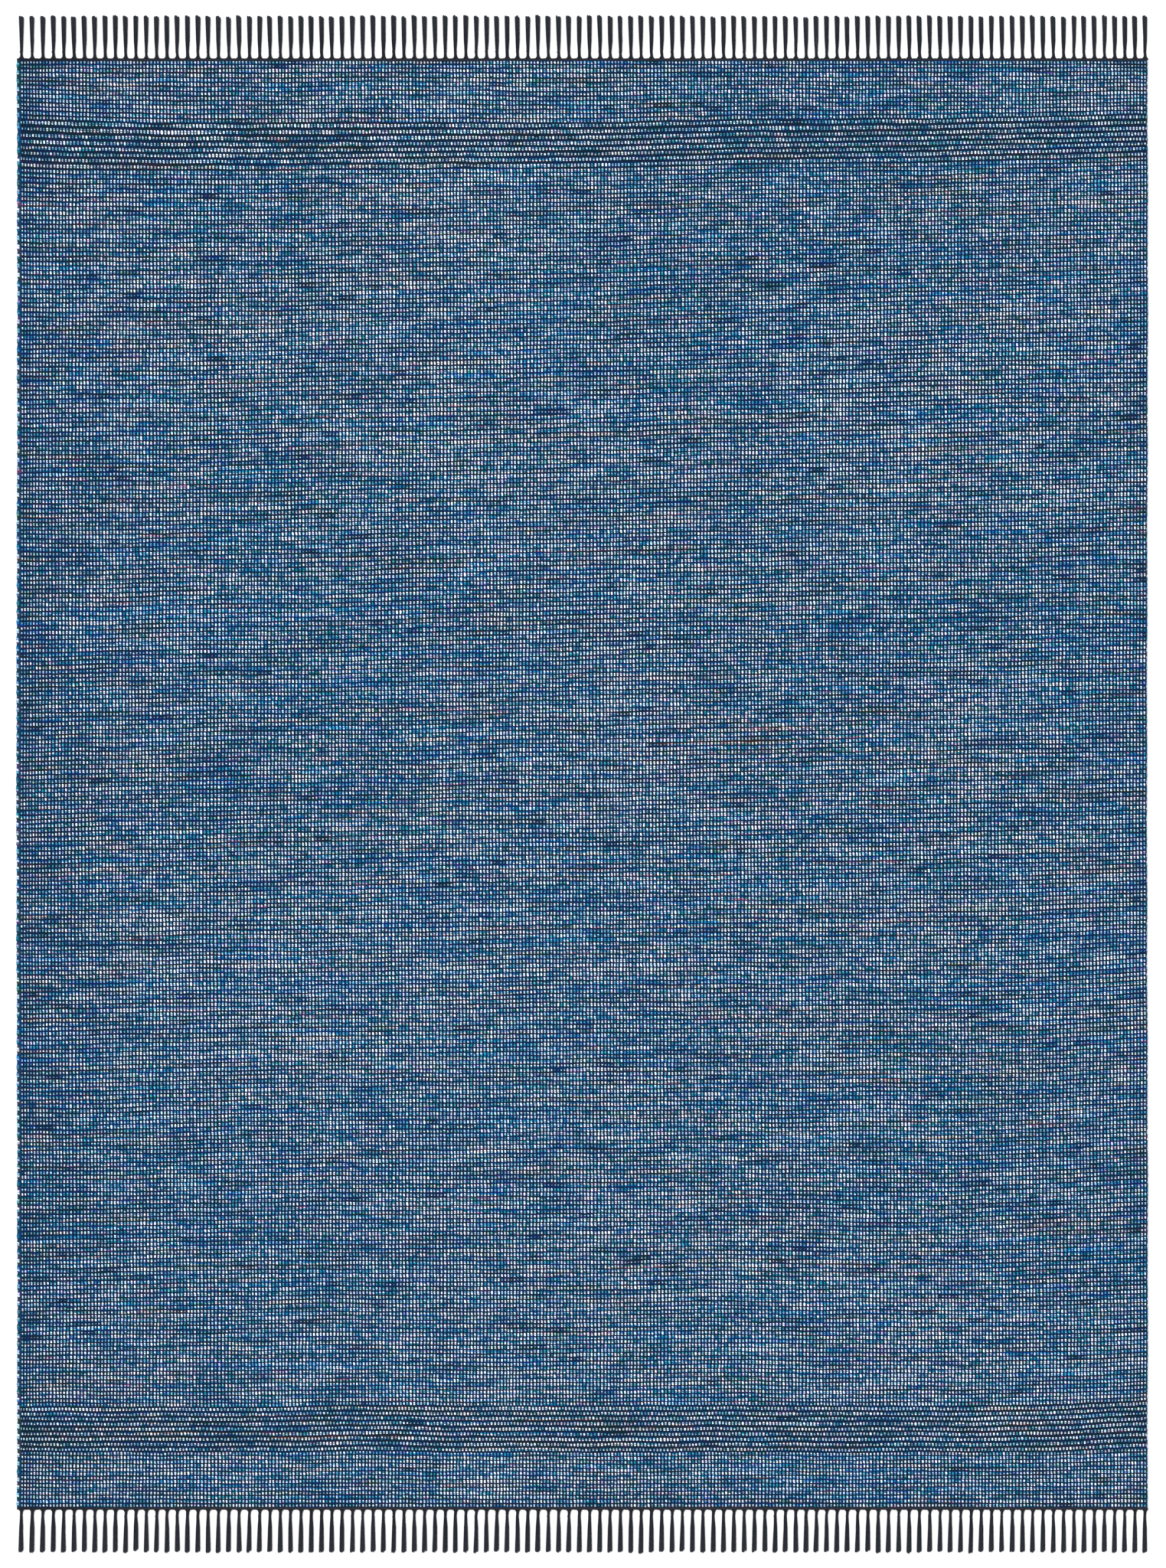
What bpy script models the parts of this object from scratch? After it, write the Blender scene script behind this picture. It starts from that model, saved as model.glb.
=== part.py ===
"""A handwoven cotton rug: one flat cloth with a knotted fringe at each end.

Metres, +Z up. The rug lies on the plane z = 0 with its length along Y, and the
origin is on that plane under the middle of the rug.
"""

import math
import random
from collections import namedtuple

import bmesh
import bpy
from mathutils import Matrix, Vector

# The woven cloth
RUG_WIDTH = 2.440
CLOTH_LENGTH = 3.122
CLOTH_THICKNESS = 0.0050
CLOTH_STEPS = 37
SELVEDGE_ROUNDING = 0.0016
SELVEDGE_ROUNDING_STEPS = 2

# Both selvedges wander sideways together by this much, over this length of cloth
DRIFT = 0.0009
DRIFT_LENGTH = 2.1
# Each selvedge also has a short wave of its own
RIPPLE = 0.0004
RIPPLE_LENGTH = 0.31

# The heading: a dark line of twined yarn that closes each end of the cloth
HEADING_DEPTH = 0.0055
HEADING_HEIGHT = 0.0048
PARTING = 0.0003

# The fringe: groups of warp ends, each knotted close to the heading
TASSELS = 110
TASSEL_ROOT_WIDTH = 0.0160
FRINGE_SEED = 7
LENGTH_SPREAD = 0.0008
LEAN_SPREAD = 0.0005
# Width of a tassel's top as a share of its width on the floor
TOP_SHARE = 0.62

# Sections along a tassel: distance from the heading, width, height, sideways lean
Section = namedtuple("Section", "distance width height lean")
TASSEL_SECTIONS = (
    Section(distance=0.0036, width=0.0080, height=0.0045, lean=0.0000),
    Section(distance=0.0115, width=0.0043, height=0.0040, lean=-0.0002),
    Section(distance=0.0150, width=0.0054, height=0.0049, lean=-0.0005),
    Section(distance=0.0420, width=0.0072, height=0.0046, lean=-0.0008),
    Section(distance=0.0865, width=0.0086, height=0.0046, lean=-0.0016),
    Section(distance=0.0910, width=0.0052, height=0.0034, lean=-0.0022),
)

# Mean colours, linear
CLOTH_COLOUR = (0.160, 0.235, 0.328, 1.0)
FRINGE_COLOUR = (0.013, 0.016, 0.026, 1.0)
CLOTH_ROUGHNESS = 0.92
FRINGE_ROUGHNESS = 0.96


def clear_scene():
    for old in list(bpy.data.objects):
        bpy.data.objects.remove(old)


def cotton(name, colour, roughness):
    """A matt cotton yarn."""
    material = bpy.data.materials.new(name)
    material.use_nodes = True
    shader = material.node_tree.nodes["Principled BSDF"]
    shader.inputs["Base Color"].default_value = colour
    shader.inputs["Roughness"].default_value = roughness
    shader.inputs["Metallic"].default_value = 0.0
    return material


def new_object(name, mesh_tool, material, collection):
    """Turns a finished bmesh into a named object of the rug."""
    mesh = bpy.data.meshes.new(name)
    mesh_tool.to_mesh(mesh)
    mesh_tool.free()
    mesh.materials.append(material)
    made = bpy.data.objects.new(name, mesh)
    collection.objects.link(made)
    return made


def selvedge_x(side, y):
    """Where the left (-1) or right (+1) selvedge runs at this place along the rug."""
    drift = -DRIFT * math.cos(math.tau * y / DRIFT_LENGTH)
    ripple = RIPPLE * math.sin(math.tau * y / RIPPLE_LENGTH + side)
    return side * RUG_WIDTH / 2 + drift + ripple


def make_cloth(material, collection):
    """One flat sheet with wandering selvedges that are rounded like a cord."""
    cloth = bmesh.new()
    bmesh.ops.create_grid(cloth, x_segments=1, y_segments=CLOTH_STEPS, size=0.5)
    for vert in cloth.verts:
        along = vert.co.y * CLOTH_LENGTH
        vert.co = Vector((selvedge_x(math.copysign(1, vert.co.x), along), along, 0.0))
    raised = bmesh.ops.extrude_face_region(cloth, geom=cloth.faces[:])["geom"]
    top = [item for item in raised if isinstance(item, bmesh.types.BMVert)]
    bmesh.ops.translate(cloth, verts=top, vec=(0, 0, CLOTH_THICKNESS))
    bmesh.ops.recalc_face_normals(cloth, faces=cloth.faces[:])
    selvedges = [edge for edge in cloth.edges if runs_along_selvedge(edge)]
    bmesh.ops.bevel(
        cloth,
        geom=selvedges,
        offset=SELVEDGE_ROUNDING,
        segments=SELVEDGE_ROUNDING_STEPS,
        profile=0.5,
        affect="EDGES",
    )
    return new_object("rug_cloth", cloth, material, collection)


def runs_along_selvedge(edge):
    """True for the long top and bottom edges at the two sides of the sheet."""
    start, end = (vert.co for vert in edge.verts)
    return abs(end.x - start.x) < RUG_WIDTH / 2 and abs(end.y - start.y) > PARTING


def tassel_centres():
    """Evenly spaced, with the outermost roots flush with the heading's ends."""
    span = RUG_WIDTH - TASSEL_ROOT_WIDTH
    return [span * (i / (TASSELS - 1) - 0.5) for i in range(TASSELS)]


def make_heading(centres, end):
    """The bar that carries the tassels, divided at both sides of each root."""
    inner = CLOTH_LENGTH / 2 + PARTING
    heading = bmesh.new()
    place = Matrix.Translation((0, end * (inner + HEADING_DEPTH / 2), HEADING_HEIGHT / 2))
    size = Matrix.Diagonal((RUG_WIDTH, HEADING_DEPTH, HEADING_HEIGHT, 1))
    bmesh.ops.create_cube(heading, size=1.0, matrix=place @ size)
    sides = [centre + TASSEL_ROOT_WIDTH * half for centre in centres for half in (-0.5, 0.5)]
    for x in sides[1:-1]:
        bmesh.ops.bisect_plane(
            heading,
            geom=heading.verts[:] + heading.edges[:] + heading.faces[:],
            plane_co=(x, 0, 0),
            plane_no=(1, 0, 0),
        )
    return heading


def root_face(heading, centre, end):
    """The rectangle of the heading's outer side that a tassel grows from."""
    outer = CLOTH_LENGTH / 2 + PARTING + HEADING_DEPTH
    for face in heading.faces:
        middle = face.calc_center_median()
        if abs(middle.x - centre) < PARTING and abs(middle.y - end * outer) < PARTING:
            return face
    raise ValueError("no root at x = %.4f" % centre)


def grow_tassel(fringe, face, centre, end, chance):
    """Draws one tassel out of its root, section by section, level on the floor."""
    outer = CLOTH_LENGTH / 2 + PARTING + HEADING_DEPTH
    length = TASSEL_SECTIONS[-1].distance
    stretch = 1 + chance.uniform(-1, 1) * LENGTH_SPREAD / length
    sway = chance.uniform(-1, 1) * LEAN_SPREAD
    for section in TASSEL_SECTIONS:
        face = bmesh.ops.extrude_discrete_faces(fringe, faces=[face])["faces"][0]
        last_middle = face.calc_center_median().x
        middle = centre + section.lean + sway * section.distance / length
        for vert in face.verts:
            on_top = vert.co.z > HEADING_HEIGHT / 4
            half_width = section.width / 2 * (TOP_SHARE if on_top else 1)
            vert.co.x = middle + math.copysign(half_width, vert.co.x - last_middle)
            vert.co.y = end * (outer + section.distance * stretch)
            vert.co.z = section.height if on_top else 0.0


def make_fringe(name, end, material, collection):
    """A heading and its tassels, fused, at the far (+1) or near (-1) end."""
    chance = random.Random(FRINGE_SEED + end)
    centres = tassel_centres()
    fringe = make_heading(centres, end)
    roots = [root_face(fringe, centre, end) for centre in centres]
    for centre, root in zip(centres, roots):
        grow_tassel(fringe, root, centre, end, chance)
    return new_object(name, fringe, material, collection)


def main():
    clear_scene()
    collection = bpy.data.collections.new("handwoven_cotton_rug")
    bpy.context.scene.collection.children.link(collection)
    make_cloth(cotton("blue_cotton", CLOTH_COLOUR, CLOTH_ROUGHNESS), collection)
    dark = cotton("navy_cotton", FRINGE_COLOUR, FRINGE_ROUGHNESS)
    make_fringe("fringe_far", 1, dark, collection)
    make_fringe("fringe_near", -1, dark, collection)


main()
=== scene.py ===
import math

import bpy
import numpy as np
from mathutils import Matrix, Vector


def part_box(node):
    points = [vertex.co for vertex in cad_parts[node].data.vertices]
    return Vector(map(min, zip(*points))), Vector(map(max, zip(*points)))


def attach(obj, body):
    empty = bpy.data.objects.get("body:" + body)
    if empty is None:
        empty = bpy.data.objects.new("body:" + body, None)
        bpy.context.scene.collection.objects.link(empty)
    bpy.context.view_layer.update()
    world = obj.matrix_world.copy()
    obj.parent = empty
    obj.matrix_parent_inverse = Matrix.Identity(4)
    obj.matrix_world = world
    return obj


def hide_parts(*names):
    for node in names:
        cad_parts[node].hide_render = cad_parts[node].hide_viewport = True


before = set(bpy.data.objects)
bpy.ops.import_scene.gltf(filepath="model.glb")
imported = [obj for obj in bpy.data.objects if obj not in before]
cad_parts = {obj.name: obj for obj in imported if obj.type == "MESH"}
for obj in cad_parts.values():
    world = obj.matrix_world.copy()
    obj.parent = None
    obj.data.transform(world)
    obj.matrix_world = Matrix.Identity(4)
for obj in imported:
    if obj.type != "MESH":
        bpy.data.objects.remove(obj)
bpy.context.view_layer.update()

MM = 0.001
CLOTH_LOW, CLOTH_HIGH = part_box("rug_cloth")
FAR_LOW, FAR_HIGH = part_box("fringe_far")
CLOTH_LENGTH = CLOTH_HIGH[1] - CLOTH_LOW[1]
CLOTH_TOP = CLOTH_HIGH[2]

# The rug's own width, and how its selvedges wander, as in the solid
RUG_WIDTH = FAR_HIGH[0] - FAR_LOW[0]
DRIFT = 0.9 * MM
DRIFT_LENGTH = 2.1
RIPPLE = 0.4 * MM
RIPPLE_LENGTH = 0.31

# Rows of the weave, and their pitch along the left selvedge at the near end (-1) and the far end (1)
MARGIN_ROWS = 14
BAND_ROWS = {-1: 9, 1: 8}
FIELD_ROWS = 283
MARGIN_PITCH = {-1: 8.43 * MM, 1: 8.97 * MM}
BAND_PITCH = {-1: 10.8 * MM, 1: 13.2 * MM}
FIELD_PITCH = {-1: 8.8 * MM, 1: 10.1 * MM}
ROW_SPREAD = 0.05
ROW_SEED = 11

# How far the picks climb from left to right, in mm, at shares of the way from the far end to the near
CLIMB = ((0, 0), (0.04, 9), (0.10, 33), (0.20, 50), (0.50, 43), (0.76, 32), (0.93, 14), (1, 0))

# How deep the picks sag on their way across, towards the near end and towards the far end
SAG = {-1: 9 * MM, 1: 13 * MM}

# The weave's columns, which stand closer together beside the left (-1) and the right (1) selvedge
COLUMNS = 335
CLOSE_COLUMNS = 5
CLOSE_PITCH = {-1: 0.86, 1: 0.94}
COLUMN_SPREAD = 0.05
COLUMN_SEED = 12

# The width of each selvedge, outside the columns
SELVEDGE = {-1: 8.6 * MM, 1: 2.4 * MM}

# How the threads stray: by how many mm, in lumps of how many lattice rows and columns, and the draw's seed
STRAY_SIDEWAYS = ((0.34, 1, 2, 21), (0.5, 80, 40, 22))
STRAY_BROADLY = ((0.9, 40, 60, 26), (0.5, 10, 24, 27))
STRAY_FINELY = ((0.30, 2, 14, 23), (0.22, 1, 3, 24))

# They stray less in the outer fortieth of the width, and within these lengths of the headings
SIDE_PART = 40
BROAD_REACH = 60 * MM
FINE_REACH = 12 * MM

# Heights in the relief: tops of the floats, and the furrows round them
FLOAT_TOP = CLOTH_TOP
SIDE_FURROW = 4.0 * MM
ROW_FURROW = 3.7 * MM
CORNER_FURROW = 3.9 * MM
GROUND_TOP = 3.1 * MM
FLOAT_UNEVENNESS = 0.16 * MM
HEIGHT_SEED = 25

# The face is made in this many panels, each with a bake map that is cut in lengths, one above the other
PANELS = 12
PANEL_FOLDS = 3
PANEL_MARGIN = 0.005


def rows_of_cloth():
    """Row edges along Y, and for each row whether it is in a band and whether it is half a column aside."""
    near, far = (
        [(MARGIN_PITCH[end], False, False)] * MARGIN_ROWS
        + [(BAND_PITCH[end], True, k % 2 == 0) for k in range(BAND_ROWS[end])]
        for end in (-1, 1)
    )
    field = [(pitch, False, False) for pitch in np.linspace(FIELD_PITCH[-1], FIELD_PITCH[1], FIELD_ROWS)]
    rows = near + field + far[::-1]
    pitch = np.array([row[0] for row in rows])
    chance = np.random.default_rng(ROW_SEED)
    pitch = pitch * (1 + ROW_SPREAD * chance.standard_normal(len(rows)))
    edges = np.concatenate([[0.0], np.cumsum(pitch)])
    edges = CLOTH_LOW[1] + edges * CLOTH_LENGTH / edges[-1]
    band = np.array([row[1] for row in rows])
    shifted = np.array([row[2] for row in rows])
    return edges, band, shifted


ROW_EDGES, IN_BAND, SHIFTED = rows_of_cloth()
ROWS = len(IN_BAND)


def smooth_noise(shape, rows, columns, seed):
    """A field of soft lumps, this many rows and columns in size, with a mean of 0 and a spread of 1."""
    field = np.random.default_rng(seed).standard_normal(shape)
    ky = np.fft.fftfreq(shape[0])[:, None] * rows
    kx = np.fft.rfftfreq(shape[1])[None, :] * columns
    soft = np.exp(-0.5 * math.pi**2 * (ky**2 + kx**2))
    field = np.fft.irfft2(np.fft.rfft2(field) * soft, s=shape)
    return (field - field.mean()) / field.std()


def ease(x):
    """From 0 to 1 as x goes there, slowly at both ends."""
    x = np.clip(x, 0.0, 1.0)
    return x * x * (3 - 2 * x)


def selvedge_x(side, y):
    """Where the left (-1) or right (+1) selvedge runs at this place along the rug."""
    drift = -DRIFT * np.cos(math.tau * y / DRIFT_LENGTH)
    ripple = RIPPLE * np.sin(math.tau * y / RIPPLE_LENGTH + side)
    return side * RUG_WIDTH / 2 + drift + ripple


def column_shares():
    """The places of the column edges, from 0 at the left of the field to 1 at its right."""
    width = np.ones(COLUMNS)
    width[:CLOSE_COLUMNS] = CLOSE_PITCH[-1]
    width[-CLOSE_COLUMNS:] = CLOSE_PITCH[1]
    width *= 1 + COLUMN_SPREAD * np.random.default_rng(COLUMN_SEED).standard_normal(COLUMNS)
    edges = np.concatenate([[0.0], np.cumsum(width)])
    return edges / edges[-1]


def halved(values):
    """The values with their midpoints put between them."""
    out = np.empty(2 * len(values) - 1)
    out[::2] = values
    out[1::2] = (values[1:] + values[:-1]) / 2
    return out


def undulation(x, y):
    """How far the picks have crept along the rug: none at the headings, most at the right between them."""
    share = np.clip(x / RUG_WIDTH + 0.5, 0, 1)
    down = 0.5 - y / CLOTH_LENGTH
    places, climbs = np.transpose(CLIMB)
    climb = MM * np.interp(down, places, climbs)
    # The far sag fades out two fifths of the way down, and the near one lies at the right of the nearer half
    far_sag = SAG[1] * ease(down / 0.05) * (1 - ease(down / 0.4)) * np.sin(math.pi * share**0.6)
    near_sag = SAG[-1] * ease(down * 4 - 1.8) * ease((1 - down) / 0.06) * np.sin(math.pi * share**4)
    return climb * share - far_sag - near_sag


def strayed(places, loose, ways):
    """The places with soft random wandering in these ways, as far as the threads there are loose."""
    for size, rows, columns, seed in ways:
        places = places + loose * size * MM * smooth_noise(places.shape, rows, columns, seed)
    return places


def relief(shape):
    """Heights of the lattice: the middle of each float is raised, and furrows run round it."""
    z = np.full(shape, CORNER_FURROW)
    z[::2, 1::2] = ROW_FURROW
    top = FLOAT_TOP + FLOAT_UNEVENNESS * np.clip(smooth_noise(shape, 1, 4, HEIGHT_SEED), -2, 2)
    is_middle = (np.arange(shape[1]) + SHIFTED[:, None]) % 2 == 1
    z[1::2] = np.where(is_middle, top[1::2], SIDE_FURROW)
    z[:, [0, -1]] = SIDE_FURROW
    z[[0, -1]] = GROUND_TOP
    return z


def lattice():
    """Points at the corners, sides and middles of all cells, as arrays of their X, Y and Z."""
    shape = (2 * ROWS + 1, 2 * COLUMNS + 1)
    along = halved(ROW_EDGES)[:, None] * np.ones(shape)
    share = halved(column_shares())[None, :] * np.ones(shape)
    left = selvedge_x(-1, along) + SELVEDGE[-1]
    right = selvedge_x(1, along) - SELVEDGE[1]
    loose = ease(np.minimum(share, 1 - share) * SIDE_PART)
    x = strayed(left + (right - left) * share, loose, STRAY_SIDEWAYS)
    to_heading = CLOTH_LENGTH / 2 - np.abs(along)
    y = strayed(along + undulation(x, along), ease(to_heading / BROAD_REACH), STRAY_BROADLY)
    y = strayed(y, ease(to_heading / FINE_REACH), STRAY_FINELY)
    return x, y, relief(shape)


X, Y, Z = lattice()

# Layers of chance in the yarn: weight, length of the runs in columns, where 1 is a draw for each column,
# and whether the two picks of a row share them
PALE_LAYERS = ((0.43, 6, False), (0.25, 3, True), (0.39, 1, True), (0.58, 1, False))
VIVID_LAYERS = ((0.66, 16, False), (0.34, 8, True), (0.35, 4, False), (0.15, 1, False))
VIOLET_LAYERS = ((0.15, 8, False), (0.65, 2, False), (0.65, 1, False))

# Broad pale and dark patches: their weight, and their size in picks and columns
PATCH_WEIGHT = 0.08
PATCH_SIZE = (80, 50)

# How much less vivid pale yarn is
VIVID_LOSS = 0.3

# With this steepness a logistic curve gives the share of normal draws that lie below a value
SHARE_STEEPNESS = 1.702

# How pale the yarn is, from the darkest share of it to the palest, as display greens
YARN_GREENS = ((0, 0.45), (0.05, 0.53), (0.25, 0.655), (0.5, 0.78), (0.75, 0.90), (0.95, 0.995), (1, 1.0))

# How full the floats are: on the whole, and the weights of slow change along a row, of chance and of thin
# places, where a draw passes a limit. Sizes are in rows and columns
FULLNESS_MEAN = 0.98
FULLNESS_LIMITS = (0.3, 1.2)
SLOW_WEIGHT = 0.09
SLOW_SIZE = (0.1, 7)
CHANCE_WEIGHT = 0.06
THIN_WEIGHT = 0.5
THIN_SIZE = (0.1, 5)
THIN_LIMIT = 1.8

# How much less full they are at the edges of the cloth, and over how many floats this fades
TIGHTER = (("left", 0.10, 4), ("left", 0.12, 22), ("right", 0.16, 3), ("heading", 0.12, 1.5))

DYE_SEED = 31
FULLNESS_SEED = 41


def dyed_runs(shape, length, chance):
    """Runs of one value each along every pick, this many columns long on average, with a spread of 1."""
    which = np.cumsum(chance.random(shape) < 1 / length, axis=1)
    values = chance.standard_normal((shape[0], which.max() + 1))
    return np.take_along_axis(values, which, axis=1)


def in_pairs(picks):
    """The values of each row's first pick for both of its picks."""
    return np.repeat(picks[::2], 2, axis=0)


def layered(shape, layers, chance):
    """The sum of these layers of runs and single draws, for each pick and column."""
    total = np.zeros(shape)
    for weight, length, is_shared in layers:
        values = dyed_runs(shape, length, chance) if length > 1 else chance.standard_normal(shape)
        total += weight * (in_pairs(values) if is_shared else values)
    return total


def yarn_dyes(seed):
    """The display green of each pick in each column, how vivid it is, and how far it leans to violet."""
    chance = np.random.default_rng(seed)
    shape = (2 * ROWS, COLUMNS + 1)
    pale = layered(shape, PALE_LAYERS, chance) + PATCH_WEIGHT * smooth_noise(shape, *PATCH_SIZE, seed + 1)
    places, greens = np.transpose(YARN_GREENS)
    green = np.interp(1 / (1 + np.exp(-SHARE_STEEPNESS * pale / pale.std())), places, greens)
    vivid = layered(shape, VIVID_LAYERS, chance) - VIVID_LOSS * pale
    violet = layered(shape, VIOLET_LAYERS, chance)
    return np.stack([green, vivid / vivid.std(), violet / violet.std()], 2)


def float_sizes(seed):
    """How full each float is: 1 for most, less where the yarn is thin and at the edges of the cloth."""
    shape = (ROWS, COLUMNS + 1)
    row, column = np.arange(ROWS)[:, None], np.arange(COLUMNS + 1)
    to_heading = np.minimum(row, ROWS - 1 - row)
    floats_from = {"left": column, "right": COLUMNS - column, "heading": to_heading}
    tight = sum(size * np.exp(-floats_from[edge] / reach) for edge, size, reach in TIGHTER)
    slow = smooth_noise(shape, *SLOW_SIZE, seed)
    thin = np.clip(smooth_noise(shape, *THIN_SIZE, seed + 1) - THIN_LIMIT, 0, 1)
    small = np.random.default_rng(seed + 2).standard_normal(shape)
    full = FULLNESS_MEAN + SLOW_WEIGHT * slow + CHANCE_WEIGHT * small - THIN_WEIGHT * thin - tight
    return np.clip(full, *FULLNESS_LIMITS)


DYES = yarn_dyes(DYE_SEED)
FULLNESS = float_sizes(FULLNESS_SEED)


def mesh_object(name, points, faces):
    """A mesh from an array of points and one of triangles or quads."""
    mesh = bpy.data.meshes.new(name)
    count, corners = faces.shape
    mesh.vertices.add(len(points))
    mesh.vertices.foreach_set("co", np.asarray(points, np.float32).ravel())
    mesh.loops.add(count * corners)
    mesh.loops.foreach_set("vertex_index", faces.astype(np.int32).ravel())
    mesh.polygons.add(count)
    mesh.polygons.foreach_set("loop_start", np.arange(0, count * corners, corners, dtype=np.int32))
    mesh.update(calc_edges=True)
    mesh.polygons.foreach_set("use_smooth", np.ones(count, bool))
    made = bpy.data.objects.new(name, mesh)
    bpy.context.scene.collection.objects.link(made)
    return made


def set_map(mesh, name, coordinates):
    """A UV map from an array of one place for each face corner."""
    layer = mesh.uv_layers.new(name=name)
    layer.uv.foreach_set("vector", np.asarray(coordinates, np.float32).ravel())


def set_values(mesh, name, values):
    """A number for each face."""
    layer = mesh.attributes.new(name, "FLOAT", "FACE")
    layer.data.foreach_set("value", np.asarray(values, np.float32).ravel())


def inset(share, margin):
    """A share of the way across a bake map's strip, with this margin left free on both sides."""
    return margin + (1 - 2 * margin) * share


def set_dyes(mesh, row, column):
    """The dyes of the two picks that cross each face's cell."""
    for name, pick in (("dye_low", 2 * row), ("dye_high", 2 * row + 1)):
        layer = mesh.attributes.new(name, "FLOAT_VECTOR", "FACE")
        layer.data.foreach_set("vector", DYES[pick, column].astype(np.float32).ravel())


def cell_triangles(first_row, last_row):
    """Lattice corners, cell row and cell column of the eight triangles of each cell between two rows."""
    width = 2 * COLUMNS
    i, j = np.meshgrid(np.arange(2 * first_row, 2 * last_row), np.arange(width), indexing="ij")
    i, j = i.ravel(), j.ravel()
    row = i // 2
    shift = SHIFTED[row].astype(int)
    quad_low_left = np.stack([i, j], 1)
    quad_low_right = np.stack([i, j + 1], 1)
    quad_high_right = np.stack([i + 1, j + 1], 1)
    quad_high_left = np.stack([i + 1, j], 1)
    # The middle of a cell is on an odd lattice row, and its fold lines run out from there
    centre_low = i % 2 == 1
    centre_left = (j + shift) % 2 == 1
    rising = centre_low == centre_left
    a = np.where(
        rising[:, None, None],
        np.stack([quad_low_left, quad_low_right, quad_high_right], 1),
        np.stack([quad_low_left, quad_low_right, quad_high_left], 1),
    )
    b = np.where(
        rising[:, None, None],
        np.stack([quad_low_left, quad_high_right, quad_high_left], 1),
        np.stack([quad_low_right, quad_high_right, quad_high_left], 1),
    )
    corners = np.concatenate([a, b])
    return corners, np.tile(row, 2), np.tile((j + shift) // 2, 2)


def mark_furrows(mesh, first_row, columns_of_points):
    """Creases along the edges of the cells, so that each float is a rounded pillow of its own."""
    ends = np.empty(2 * len(mesh.edges), np.int32)
    mesh.edges.foreach_get("vertices", ends)
    i, j = np.divmod(ends.reshape(-1, 2), columns_of_points)
    i = i + 2 * first_row
    across = (i[:, 0] == i[:, 1]) & (i[:, 0] % 2 == 0)
    row = np.clip(i.min(1) // 2, 0, ROWS - 1)
    along = (j[:, 0] == j[:, 1]) & ((j[:, 0] + SHIFTED[row]) % 2 == 0)
    layer = mesh.attributes.new("sharp_edge", "BOOLEAN", "EDGE")
    layer.data.foreach_set("value", across | along)


def weave_panel(index, material):
    """One crosswise part of the cloth's face, where each float is a raised pillow."""
    first_row, last_row = (round(ROWS * k / PANELS) for k in (index, index + 1))
    corners, cell_row, cell_column = cell_triangles(first_row, last_row)
    columns_of_points = 2 * COLUMNS + 1
    piece = slice(2 * first_row, 2 * last_row + 1)
    points = np.stack([X[piece].ravel(), Y[piece].ravel(), Z[piece].ravel()], 1)
    i, j = corners[..., 0], corners[..., 1]
    faces = (i - 2 * first_row) * columns_of_points + j
    made = mesh_object("rug_weave_%02d" % (index + 1), points, faces)
    mesh = made.data
    shift = SHIFTED[cell_row][:, None] / 2
    set_map(mesh, "weave", np.stack([j / 2 + shift, i / 2], 2))
    fold = np.minimum(cell_column * PANEL_FOLDS // (COLUMNS + 1), PANEL_FOLDS - 1)[:, None]
    across = j / (2 * COLUMNS + 2) * PANEL_FOLDS - fold
    up = (i - 2 * first_row) / (2 * (last_row - first_row))
    bake_y = (fold + inset(up, PANEL_MARGIN)) / PANEL_FOLDS
    set_map(mesh, "OFBake", np.stack([inset(across, PANEL_MARGIN), bake_y], 2))
    set_dyes(mesh, cell_row, cell_column)
    set_values(mesh, "fullness", FULLNESS[cell_row, cell_column])
    set_values(mesh, "band", IN_BAND[cell_row])
    mark_furrows(mesh, first_row, columns_of_points)
    mesh.materials.append(material)
    return made


# Each selvedge is a stout pair of warps: share of its width outward from the columns, and height
SELVEDGE_PROFILE = (
    (0.0, SIDE_FURROW),
    (0.21, 3.6 * MM),
    (0.42, 4.5 * MM),
    (0.72, 4.6 * MM),
    (0.965, 2.9 * MM),
    (0.92, 0.4 * MM),
    (0.66, 0.05 * MM),
)

# Its loops: how far they bulge outward at the left (-1) and right (1), how far upward, and on which places
# of the profile. They follow a wave from -1 to 1, to which the mean and some unevenness are added, and which
# is kept within the limits
LOOP_DEPTH = {-1: 0.9 * MM, 1: 0.4 * MM}
LOOP_RISE = 0.25 * MM
LOOP_PLACES = range(2, 5)
LOOP_MEAN = 0.3
LOOP_UNEVENNESS = 0.4
LOOP_LIMITS = (-1.2, 1.3)
LOOP_SEED = 51

# A long strip's bake map is cut in this many lengths, with a margin on both sides
STRIP_FOLDS = 8
STRIP_MARGIN = 0.05


def folded(along, across):
    """Places for a long strip in a square map, cut into lengths that lie one above the other."""
    fold = np.minimum(np.floor(along.min(1) * STRIP_FOLDS), STRIP_FOLDS - 1)[:, None]
    return np.stack([along * STRIP_FOLDS - fold, (fold + inset(across, STRIP_MARGIN)) / STRIP_FOLDS], 2)


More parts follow.
